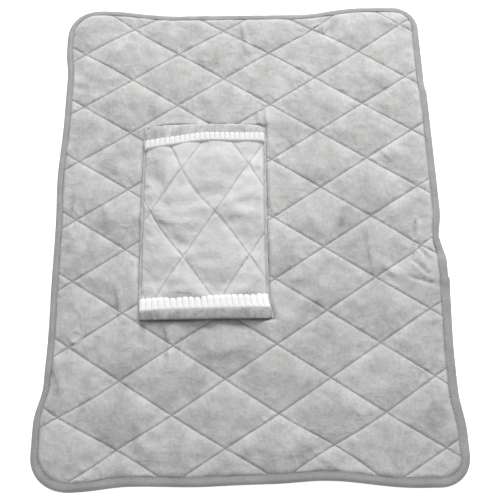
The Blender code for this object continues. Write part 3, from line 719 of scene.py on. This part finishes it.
grey_thread = thread("grey_thread", (0.22, 0.22, 0.225, 1), (0.40, 0.40, 0.405, 1))
from_x, from_y, to_x, to_y = diamond_stitches(HALF_DIAMOND, PHASE, range(-13, 25, 2), -0.30, 0.30)
thread_from, thread_to = on_grid(quilt_face, from_x, from_y), on_grid(quilt_face, to_x, to_y)
shown = (np.abs(from_x) < HALF_WIDTH - 0.004) & (from_y < FINE_Y[-1, 0]) & (from_y > FINE_Y[0, 0])
lie_at = thread_from[:, 0], thread_from[:, 1]
shown &= inset_of(*lie_at) > tape_width(*lie_at) + 0.003
thread_from, thread_to = thread_from + JUST_CLEAR, thread_to + JUST_CLEAR
for name, chosen, bend in (("quilting_thread_upper", shown & (lie_at[1] > MEETING_Y), bend_up),
                           ("quilting_thread_lower", shown & (lie_at[1] <= MEETING_Y), bend_down)):
    lines = stitch_piece(name, thread_from[chosen], thread_to[chosen], THREAD, grey_thread)
    bend(lines)


# Binding. Smooth grey knitted tape folded over the blanket's edge and topstitched near its inner edges. It is
# one length: it starts on the right under the lap, runs round the head and the left side, and its end laps
# over its start beside the inlet. A window in it lets the inlet's mouth show.
TAPE = 0.0012  # the tape's thickness
LAP_Y = -0.0310  # where its two ends lap on the right


def rim_path(step):
    """The rim of the flat rectangle, laid out, as points at equal distances and the distance walked to each. It
    starts at the right side's lap and runs round the head first."""
    lap = (1, LAP_Y / HALF_LENGTH)
    corners = np.array([lap, (1, 1), (-1, 1), (-1, -1), (1, -1), lap])
    corners = corners * [HALF_WIDTH, HALF_LENGTH]
    far = running_length(corners)
    walk = np.linspace(0, far[-1], 6001)
    x, y = laid_out(np.interp(walk, far, corners[:, 0]), np.interp(walk, far, corners[:, 1]))
    path = np.stack([x, y], -1)
    far = running_length(path)
    even = np.linspace(0, far[-1], int(far[-1] / step) + 1)
    path = np.stack([np.interp(even, far, path[:, 0]), np.interp(even, far, path[:, 1])], -1)
    return even, smooth_path(path)


def smooth_path(path):
    """Averages each point with its neighbours, three times, keeping the two ends."""
    for _ in range(3):
        path = np.concatenate([path[:1], (path[:-2] + 2 * path[1:-1] + path[2:]) / 4, path[-1:]])
    return path


walked, rim = rim_path(0.0025)
along_rim = np.gradient(rim, axis=0)
along_rim /= np.linalg.norm(along_rim, axis=1, keepdims=True)
outward = np.stack([along_rim[:, 1], -along_rim[:, 0]], -1)


def tape_profile(width, top, spread):
    """The folded tape in section, as points (distance in from the edge, height): along the top from its inner
    edge, round the fold as half an ellipse, back along the table, and then the same line 1.2 mm inside."""
    half = top / 2
    nose = np.minimum(0.0062, width * 0.75)
    outer, inner = [], []
    for share in (1, 0.75, 0.5, 0.25):
        flat = nose + (width - nose) * share - spread
        outer.append((flat, top - 0.0004 * share))
        inner.append((flat, top - 0.0004 * share - TAPE))
    for angle in np.linspace(0, np.pi, 13):
        outer.append((nose * (1 - np.sin(angle)) - spread, half + half * np.cos(angle)))
        inner.append((nose - (nose - TAPE) * np.sin(angle) - spread, half + (half - TAPE) * np.cos(angle)))
    for share in (0.25, 0.5, 0.75, 1):
        flat = nose + (width - nose) * share - spread
        outer.append((flat, 0.0))
        inner.append((flat, TAPE))
    return np.stack([np.stack(np.broadcast_arrays(*point), -1) for point in outer + inner[::-1]], 1)


def knit(name, dark, light):
    """Smooth warp knit: fine ribs across the tape, a cross grain, soft shade clouds, and small tucks between
    the stitches beside its inner edge."""
    tape_finish = Finish(name, {
        "Roughness": 0.78, "Sheen Weight": 0.2, "Sheen Roughness": 0.4, "Specular IOR Level": 0.25})
    strip = tape_finish.place("UV")
    ribs = tape_finish.node("ShaderNodeTexWave", {"bands_direction": "X"}, {
        "Vector": strip, "Scale": 380.0, "Distortion": 0.6, "Detail": 1.0})
    wales = tape_finish.node("ShaderNodeTexWave", {"bands_direction": "Y"}, {
        "Vector": strip, "Scale": 520.0, "Distortion": 0.4})
    clouds = tape_finish.noise(strip, 30.0, 3.0)
    fuzz = tape_finish.noise(strip, 460.0, 3.0, 0.8)
    shade = 0.5 + 0.8 * (clouds - 0.5) + 0.30 * (ribs - 0.5) + 0.20 * (wales - 0.5) + 1.5 * (fuzz - 0.5)
    tucks = tape_finish.noise(tape_finish.place("UV", (1.0, 0.25, 1.0)), 170.0, 1.0)
    normal = tape_finish.bump(tucks, 0.0009, 0.45, tape_finish.bump(ribs * 0.5 + wales * 0.5, 0.00012, 0.7))
    return tape_finish.feed(Base_Color=tape_finish.blend(shade, dark, light), Normal=normal)


binding_knit = knit("grey_binding", (0.205, 0.204, 0.203, 1), (0.415, 0.413, 0.411, 1))


def binding_piece(name, chosen, lift, spread):
    """The folded tape along the chosen part of the rim, closed at both ends, and its points as a grid."""
    base, out, far = rim[chosen], outward[chosen], walked[chosen]
    edge = base + out * INSET
    width = tape_width(edge[:, 0], edge[:, 1]) + 0.0004 * np.sin(far * 61) + 0.0003 * np.sin(far * 173 + 1)
    hump = ease((0.032 - np.abs(edge[:, 1] - inlet_y)) / 0.018) * (edge[:, 0] > 0)
    top = 0.0097 + 0.0036 * hump + lift + 0.00025 * np.sin(far * 83) + 0.0002 * np.sin(far * 211 + 2)
    section = tape_profile(width, top, spread)
    points = np.concatenate([edge[:, None, :] - out[:, None, :] * section[..., :1], section[..., 1:]], -1)
    index = np.arange(len(points) * points.shape[1]).reshape(points.shape[:2])
    after = np.roll(index, -1, axis=1)
    faces = np.stack([index[:-1], index[1:], after[1:], after[:-1]], -1).reshape(-1, 4).tolist()
    faces += [index[0].tolist(), index[-1, ::-1].tolist()]
    uv = np.stack(np.broadcast_arrays(far[:, None], running_length(section[0])[None, :]), -1).reshape(-1, 2)
    piece = make_piece(name, points.reshape(-1, 3), faces, binding_knit, uv)
    piece.data.set_sharp_from_angle(angle=1.2)
    return piece, points


halfway = int(np.argmin(np.abs(rim[:, 1] - MEETING_Y) + (rim[:, 0] > 0)))
upper_part = np.concatenate([np.arange(len(rim) - 5, len(rim) - 1), np.arange(halfway + 1)])
lower_part = np.arange(halfway, len(rim))
lap_rise = ease((walked[lower_part] - walked[-1] + 0.024) / 0.016)
binding_upper, upper_ring = binding_piece("edge_tape_upper", upper_part, 0.0, 0.0)
binding_lower, lower_ring = binding_piece("edge_tape_lower", lower_part, 0.0013 * lap_rise, 0.0016 * lap_rise)

WINDOW_FROM, WINDOW_TO, WINDOW_MARGIN = 0.276, 0.320, 0.0005
low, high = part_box("inlet_housing")
front, rear = low.y - WINDOW_MARGIN, high.y + WINDOW_MARGIN
cut = [(x, y, z) for z in (low.z - WINDOW_MARGIN, high.z + WINDOW_MARGIN)
       for x, y in ((WINDOW_FROM, front), (WINDOW_TO, front), (WINDOW_TO, rear), (WINDOW_FROM, rear))]
window_mesh = bpy.data.meshes.new("inlet_window")
window_mesh.from_pydata(cut, [], [
    (3, 2, 1, 0), (4, 5, 6, 7), (0, 1, 5, 4), (1, 2, 6, 5), (2, 3, 7, 6), (3, 0, 4, 7)])
window = bpy.data.objects.new("inlet_window", window_mesh)
scene.collection.objects.link(window)
cutter = binding_lower.modifiers.new("inlet_window", "BOOLEAN")
cutter.operation = "DIFFERENCE"
cutter.object = window
cutter.solver = "EXACT"
bpy.context.view_layer.update()
opened = bpy.data.meshes.new_from_object(binding_lower.evaluated_get(bpy.context.evaluated_depsgraph_get()))
binding_lower.modifiers.clear()
binding_lower.data = opened
bpy.data.objects.remove(window)
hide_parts("edge_binding_upper", "edge_binding_left", "edge_binding_right")
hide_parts("edge_binding_lower")


TOPSTITCH = 0.0030


def topstitches(ring, column, share):
    """The starts and ends of even stitches along the tape, at a share between two of its columns."""
    line = ring[:, column] * (1 - share) + ring[:, column + 1] * share
    reach = running_length(line)
    first = np.arange(0.002, reach[-1] - TOPSTITCH, PITCH)
    return [np.stack([np.interp(place, reach, line[:, axis]) for axis in range(3)], -1)
            for place in (first, first + TOPSTITCH)]


tape_thread = thread("tape_thread", (0.12, 0.12, 0.125, 1), (0.24, 0.24, 0.245, 1))
for name, ring, bend in (("edge_stitching_upper", upper_ring, bend_up),
                         ("edge_stitching_lower", lower_ring, bend_down)):
    above, below = topstitches(ring, 0, 0.75), topstitches(ring, 19, 0.25)
    starts = np.concatenate([above[0] + 0.00005 * UP, below[0] - 0.00002 * UP])
    ends = np.concatenate([above[1] + 0.00005 * UP, below[1] - 0.00002 * UP])
    out = np.concatenate([np.tile(UP, (len(above[0]), 1)), np.tile(-UP, (len(below[0]), 1))])
    row = stitch_piece(name, starts, ends, 0.0007, tape_thread, out)
    bend(row)
bend_up(binding_upper)
bend_down(binding_lower)


# Pocket panel. The same quilted velvet, turned a quarter so that its diamonds stand 152 mm tall, over wadding
# and a smooth lining. Both sides are sewn to the face, and both ends stay open as a tunnel for the hands.
POCKET_HALF = np.array([0.050, 0.076])
CROSSING_X, CROSSING_Y = -0.051, 0.020  # where two of its stitch lines cross
POCKET_PHASE = (-CROSSING_X / POCKET_HALF[0] + 1, -CROSSING_Y / POCKET_HALF[1])
PANEL_X, PANEL_Y = np.meshgrid(np.arange(-32, 22) / STEPS * POCKET_HALF[0] + CROSSING_X,
                               np.arange(-30, 25) / STEPS * POCKET_HALF[1] + CROSSING_Y)


def pocket_span(t, y):
    """A point across the pocket at share t from its left seam to its right seam."""
    return pocket_left(y) + t * (pocket_right(y) - pocket_left(y))


def arch(t, sharpness=2.8):
    """The height of the tunnel across the pocket: 0 at the seams, 1 over most of the middle."""
    return (1 - np.clip(np.abs(2 * t - 1), 0, 1) ** sharpness) ** 0.6


def seam_level(y):
    """The height of the blanket's face under the pocket's seams, evened out along them."""
    rows = np.linspace(-0.20, 0.20, 81)
    left, right = [on_grid(quilt_face, np.full_like(rows, side), rows)[:, 2] for side in (-0.165, 0.026)]
    level = np.convolve(np.pad((left + right) / 2, 4, "edge"), np.ones(9) / 9, "valid")
    return np.interp(y, rows, level)


def pocket_under(t, y):
    """The lining's height: on the face at the seams, 11 mm over it in the middle and 4 mm at both ends."""
    towards_end = ease((np.abs(y - POCKET_MIDDLE_Y) - 0.08) / 0.08)
    return seam_level(y) + 0.0004 + 0.0110 * arch(t) * (1 - 0.62 * towards_end)


panel_x, panel_y, panel_gap, panel_puff = blown_up(PANEL_X, PANEL_Y, POCKET_HALF, POCKET_PHASE,
                                                   slack=0.012, seed=9, pillow_height=0.0045)
panel_t = (panel_x - panel_x[0, 0]) / (panel_x[0, -1] - panel_x[0, 0])
panel_under = pocket_under(panel_t, panel_y)
panel_thick = 0.0014 + 0.0016 * arch(panel_t) + panel_puff - 0.0006 * np.exp(-(panel_gap / 0.0016) ** 2)
slack = arch(panel_t) * (1 - np.exp(-panel_gap / 0.006))
panel_thick += 0.0015 * drift(0.45 * panel_x, panel_y, 0.020, 0.060, 21) * slack
panel_thick += 0.0005 * drift(panel_x, panel_y, 0.010, 0.020, 22) * np.exp(-panel_gap / 0.008)
panel_wide = pocket_span(panel_t, panel_y)
pulled = np.sin(np.pi * panel_t) ** 0.5 * swell(panel_y, 0.045, 0.065) * swell(panel_wide, -0.110, 0.050)
pulled_x = panel_wide - 0.010 * pulled
pulled_y = panel_y - 0.015 * pulled - 0.004 * np.sin(np.pi * panel_t) * swell(panel_y, 0.0, 0.09)
panel_face = np.stack([pulled_x, pulled_y, panel_under + np.maximum(panel_thick, 0.0012)], -1)
panel_back = np.stack([pulled_x, pulled_y, panel_under], -1)


pocket_velvet = velvet("pocket_velvet", (0.36, 0.358, 0.356, 1), (0.69, 0.686, 0.682, 1),
                       (0.34, 0.34, 0.34, 1), grain=0.7, line=0.5)
pocket = slab("pocket_panel", panel_face, panel_back, pocket_velvet, np.stack([panel_y, panel_x], -1) + 0.5,
              panel_gap)
# Painted shade along both side seams and in the panel's own stitch lines, with a painted highlight beside them.
seam_gap = np.minimum(panel_t, 1 - panel_t) * 0.19
panel_near = np.clip(np.minimum(panel_gap, seam_gap) / SEAM_REACH, 0, 1)
mark(pocket, "stitch_gap", panel_near, panel_near)
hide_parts("pocket_face_fabric", "pocket_wadding", "pocket_lining")
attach(pocket, "middle_panel")


# Pocket side seams. The panel's velvet is folded under and sewn down to the face on each side: a narrow lip
# along the outside of the panel, stitched through every 4 mm.
SEAM_OFFSET = 0.0012  # from the panel's edge out to the middle of the lip
SEAM_PITCH = 0.0040
SEAM_STITCH = 0.0030
LIP_HALF_HEIGHT = 0.0014
lip_velvet = velvet("seam_velvet", (0.28, 0.279, 0.277, 1), (0.58, 0.576, 0.572, 1),
                    (0.10, 0.10, 0.10, 1), grain=1.2)


def bar(name, centre, side, across, up, finish, uv_shift):
    """A rounded bar along a line of points. Its section is a rounded flat loop of half width across, towards
    the side, and half height up, and it shrinks towards both ends of the bar."""
    count, ring = len(centre), 20
    turn = np.linspace(0, 2 * np.pi, ring, endpoint=False)
    ends = np.sqrt(np.clip(1 - (2 * np.linspace(0, 1, count) - 1) ** 50, 0, 1))
    wide = np.sign(np.cos(turn)) * np.abs(np.cos(turn)) ** 0.75
    tall = np.sign(np.sin(turn)) * np.abs(np.sin(turn)) ** 0.75
    points = (centre[:, None] + np.array(side) * (wide * across[:, None] * ends[:, None])[..., None]
              + UP * (tall * up[:, None] * ends[:, None])[..., None])
    index = np.arange(count * ring).reshape(count, ring)
    after = np.roll(index, -1, axis=1)
    faces = np.stack([index[:-1], after[:-1], after[1:], index[1:]], -1).reshape(-1, 4).tolist()
    faces += [index[0, ::-1].tolist(), index[-1].tolist()]
    far = running_length(centre)
    uv = np.stack(np.broadcast_arrays(turn[None] * 0.004, far[:, None] + uv_shift), -1).reshape(-1, 2)
    piece = make_piece(name, points.reshape(-1, 3), faces, finish, uv)
    # Painted shade along both sides of the bar, where it meets the cloth under it, with a painted highlight
    # just inside them; the same on the lips and the hem rolls.
    mark(piece, "stitch_gap", np.tile(0.36 * (1 - np.abs(wide) ** 3), count))
    return piece


seam_y = np.linspace(POCKET_LOW, 0.1660, 160)
seam_from, seam_to = [], []
for name, edge, outer in (("pocket_lip_left", pocket_left, -1), ("pocket_lip_right", pocket_right, 1)):
    middle = edge(seam_y) + outer * SEAM_OFFSET
    level = on_grid(quilt_face, middle, seam_y)[:, 2]
    level = np.convolve(np.pad(level, 3, "edge"), np.ones(7) / 7, "valid") + 0.0008
    across = 0.0024 + 0.0003 * np.sin(seam_y * 140) + 0.0002 * np.sin(seam_y * 331)
    lip = bar(name, np.stack([middle, seam_y, level], -1), (1, 0, 0), across,
              np.full_like(across, LIP_HALF_HEIGHT), lip_velvet, 0.2)
    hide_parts(name.replace("lip", "seam"))
    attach(lip, "middle_panel")
    holes = np.arange(-0.150, 0.160, SEAM_PITCH)
    top = np.interp(holes, seam_y, level) + LIP_HALF_HEIGHT
    seam_from.append(np.stack([edge(holes) + outer * SEAM_OFFSET, holes, top], -1))
    holes = holes + SEAM_STITCH
    seam_to.append(np.stack([edge(holes) + outer * SEAM_OFFSET, holes, top], -1))
side_stitches = stitch_piece("pocket_side_stitching", np.concatenate(seam_from), np.concatenate(seam_to),
                             0.0006, tape_thread)
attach(side_stitches, "middle_panel")


# Pocket quilting thread. Paler polyester in the panel's own diamond lines. It stops short of the seams and
# hems.
pale_thread = thread("pale_thread", (0.36, 0.36, 0.365, 1), (0.54, 0.54, 0.545, 1))
from_x, from_y, to_x, to_y = diamond_stitches(POCKET_HALF, POCKET_PHASE, range(-11, 14, 2), -0.165, 0.026)
shown = (from_y > -0.118) & (from_y < 0.132) & (from_x > -0.158) & (from_x < 0.019)
thread_from = on_grid(panel_face, from_x[shown], from_y[shown], panel_x, panel_y)
thread_to = on_grid(panel_face, to_x[shown], to_y[shown], panel_x, panel_y)
pocket_thread = stitch_piece("pocket_quilting_thread", thread_from + JUST_CLEAR, thread_to + JUST_CLEAR,
                             THREAD, pale_thread)
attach(pocket_thread, "middle_panel")


# Pocket hems. At each end the velvet is rolled over a strip of wadding and sewn through, a soft grey roll
# across the mouth of the tunnel. The lower one is thick and even. The upper one is flatter, and wider at its
# left.
hem_t = np.linspace(0, 1, 150)
plain_velvet = velvet("hem_velvet", (0.20, 0.199, 0.197, 1), (0.46, 0.457, 0.454, 1),
                      (0.10, 0.10, 0.10, 1), grain=2.2)
top_velvet = velvet("upper_hem_velvet", (0.27, 0.269, 0.267, 1), (0.60, 0.597, 0.593, 1),
                    (0.12, 0.12, 0.12, 1), grain=2.0)


def trim_line(t, left, middle, right):
    """The curve through three levels, at t 0, 0.5 and 1, that is a parabola across the pocket."""
    return left * (1 - t) * (1 - 2 * t) + 4 * middle * t * (1 - t) + right * t * (2 * t - 1)


def upper_trim_low(t):
    """The lower edge of the upper trim: level, but drooping over its left half."""
    return 0.1352 - 0.0115 * (1 - ease(t / 0.52)) + 0.0005 * np.sin(t * 14)


lower_hem = (trim_line(hem_t, -0.1548, -0.1550, -0.1545), trim_line(hem_t, -0.1400, -0.1385, -0.1370))
upper_hem = (upper_trim_low(hem_t) + 0.0145,
             0.1680 - 0.0025 * np.abs(2 * hem_t - 1) ** 3 - 0.0060 * swell(hem_t, 0, 0.045))
for name, (low_edge, high_edge), thick, hem_finish in (("pocket_roll_lower", lower_hem, 0.0036, plain_velvet),
                                                       ("pocket_roll_upper", upper_hem, 0.0027, top_velvet)):
    middle_y = (low_edge + high_edge) / 2
    x = pocket_span(hem_t, middle_y) + (hem_t - 0.5) * 0.002
    thick = thick * (0.55 + 0.45 * arch(hem_t)) + 0.0003 * np.sin(x * 190) + 0.0002 * np.sin(x * 420 + 1)
    centre = np.stack([x, middle_y, pocket_under(hem_t, middle_y) + thick + 0.0002], -1)
    roll = bar(name, centre, (0, -1, 0), (high_edge - low_edge) / 2, thick, hem_finish, 0.3)
    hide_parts(name.replace("roll", "hem"))
    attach(roll, "middle_panel")


# Plush trims. White wide-wale plush: each strip is woven in fat lobes side by side, rounded on the side
# towards the head, and its other edge is sewn straight along the panel.
plush = Finish("white_plush", {
    "Roughness": 0.95, "Sheen Weight": 0.4, "Sheen Roughness": 0.5, "Specular IOR Level": 0.1})
pile_place = plush.place("Object")
curls = plush.noise(pile_place, 700.0, 4.0, 0.7, 1.0)
tufts = plush.noise(pile_place, 260.0, 2.0, 0.6)
plush_painted_shade = plush.node("ShaderNodeAttribute", {"attribute_name": "valley"}, out="Fac")
plush_colour = plush.blend(0.4 * curls + 0.6 * tufts, (0.80, 0.80, 0.80, 1), (0.95, 0.95, 0.95, 1))
# Painted shade: the valleys between the lobes, and a whole strip by its share, are blended towards grey.
plush_colour = plush.blend(plush_painted_shade, plush_colour, (0.50, 0.50, 0.51, 1))
plush.feed(Base_Color=plush_colour, Normal=plush.bump(tufts, 0.0006, 0.5, plush.bump(curls, 0.0003, 0.7)))


def trim_piece(name, low_edge, high_edge, lobes, shade_all_over, seed):
    """A strip of lobes. Across the strip the height follows a rounded arch, along it each lobe is half a sine
    wave to a low power, and the far edge is scalloped with the lobes. Small random tufts roughen it. Painted
    shade greys it in the valleys between the lobes and, by the given share, all over."""
    t, v = np.meshgrid(np.linspace(0, 1, lobes * 14 + 1), np.linspace(0, 1, 25))
    low, high = low_edge(t), high_edge(t)
    lobe = np.abs(np.sin(np.pi * lobes * t)) ** 0.30
    reach = high - 0.0030 * (1 - lobe)
    y = low + (reach - low) * v
    x = pocket_span(t, y) + (t - 0.5) * 0.0030
    hill = (1 - np.abs(2 * v - 1) ** 5.0) ** 0.5
    groove = 1 - (1 - lobe) * (0.35 + 0.65 * ease((v - 0.05) / 0.3))
    height = 0.0005 + 0.0058 * hill * (0.70 + 0.30 * groove) * (0.75 + 0.25 * arch(t, 6))
    height += 0.00025 * drift(x, y, 0.0016, 0.004, seed, 60) * hill
    base = pocket_under(t, y) + 0.0012
    face = np.stack([x, y, base + np.maximum(height, 0.0004)], -1)
    under = np.stack([x, y, base - 0.0004], -1)
    piece = slab(name, face, under, plush, np.stack([x, y], -1) + 0.5)
    # Painted shade in the valleys, and painted shade all over by the given share.
    painted_shade = np.clip(1 - lobe * 1.35, 0, 1) * ease((v - 0.05) / 0.2) * 0.5 + shade_all_over
    mark(piece, "valley", painted_shade, painted_shade)
    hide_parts(name.replace("plush", "pocket_trim").replace("_strip", ""))
    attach(piece, "middle_panel")
    return piece


lower_strip = trim_piece("plush_lower_strip", lambda t: -0.1428 + 0.0030 * t, lambda t: -0.1215 + 0.0055 * t,
                         lobes=21, shade_all_over=0.0, seed=31)
# The upper strip is painted half way towards grey all over, a painted shade.
upper_strip = trim_piece("plush_upper_strip", upper_trim_low, lambda t: upper_trim_low(t) + 0.0178,
                         lobes=24, shade_all_over=0.5, seed=32)


# Heating circuit and inlet. Heating wire in soft white insulation and its leads, the ceramic thermal fuse and
# the disc thermostat, all sewn flat to the carrier, and the black inlet with brass pins. All stay as in CAD.
def moulded(name, colour, dark, roughness, constants=None, grain=1400.0, depth=0.00004):
    """A moulded or drawn surface: even colour with faint flow clouds, wear in its gloss and a fine grain."""
    finish = Finish(name, constants or {})
    here = finish.place()
    clouds = finish.noise(here, 120.0, 3.0)
    specks = finish.noise(here, grain, 2.0)
    return finish.feed(Base_Color=finish.blend(clouds, dark, colour),
                       Roughness=roughness + 0.16 * (specks - 0.5) + 0.12 * (clouds - 0.5),
                       Normal=finish.bump(specks, depth, 0.6))


wire_skin = moulded("wire_insulation", (0.80, 0.78, 0.72, 1), (0.70, 0.68, 0.62, 1), 0.45)
ceramic = moulded("ceramic_body", (0.83, 0.80, 0.74, 1), (0.70, 0.67, 0.60, 1), 0.40)
steel = moulded("steel", (0.60, 0.59, 0.57, 1), (0.46, 0.45, 0.44, 1), 0.34, {"Metallic": 1.0}, 900.0)
brass = moulded("brass_pins", (0.78, 0.57, 0.26, 1), (0.62, 0.44, 0.19, 1), 0.26, {"Metallic": 1.0}, 1100.0)
plastic = moulded("black_plastic", (0.030, 0.030, 0.032, 1), (0.018, 0.018, 0.020, 1), 0.48,
                  grain=2200.0, depth=0.00006)
FINISH_OF = {"thermal_fuse": ceramic, "thermostat_case": ceramic,
             "thermostat_bimetal": steel, "thermostat_cap": steel,
             "inlet_housing": plastic, "inlet_rear_cap": plastic,
             "inlet_pin_front": brass, "inlet_pin_rear": brass}
for name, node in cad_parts.items():
    if node.hide_render:
        continue
    node.data.materials.clear()
    node.data.materials.append(FINISH_OF.get(name, wire_skin).material)
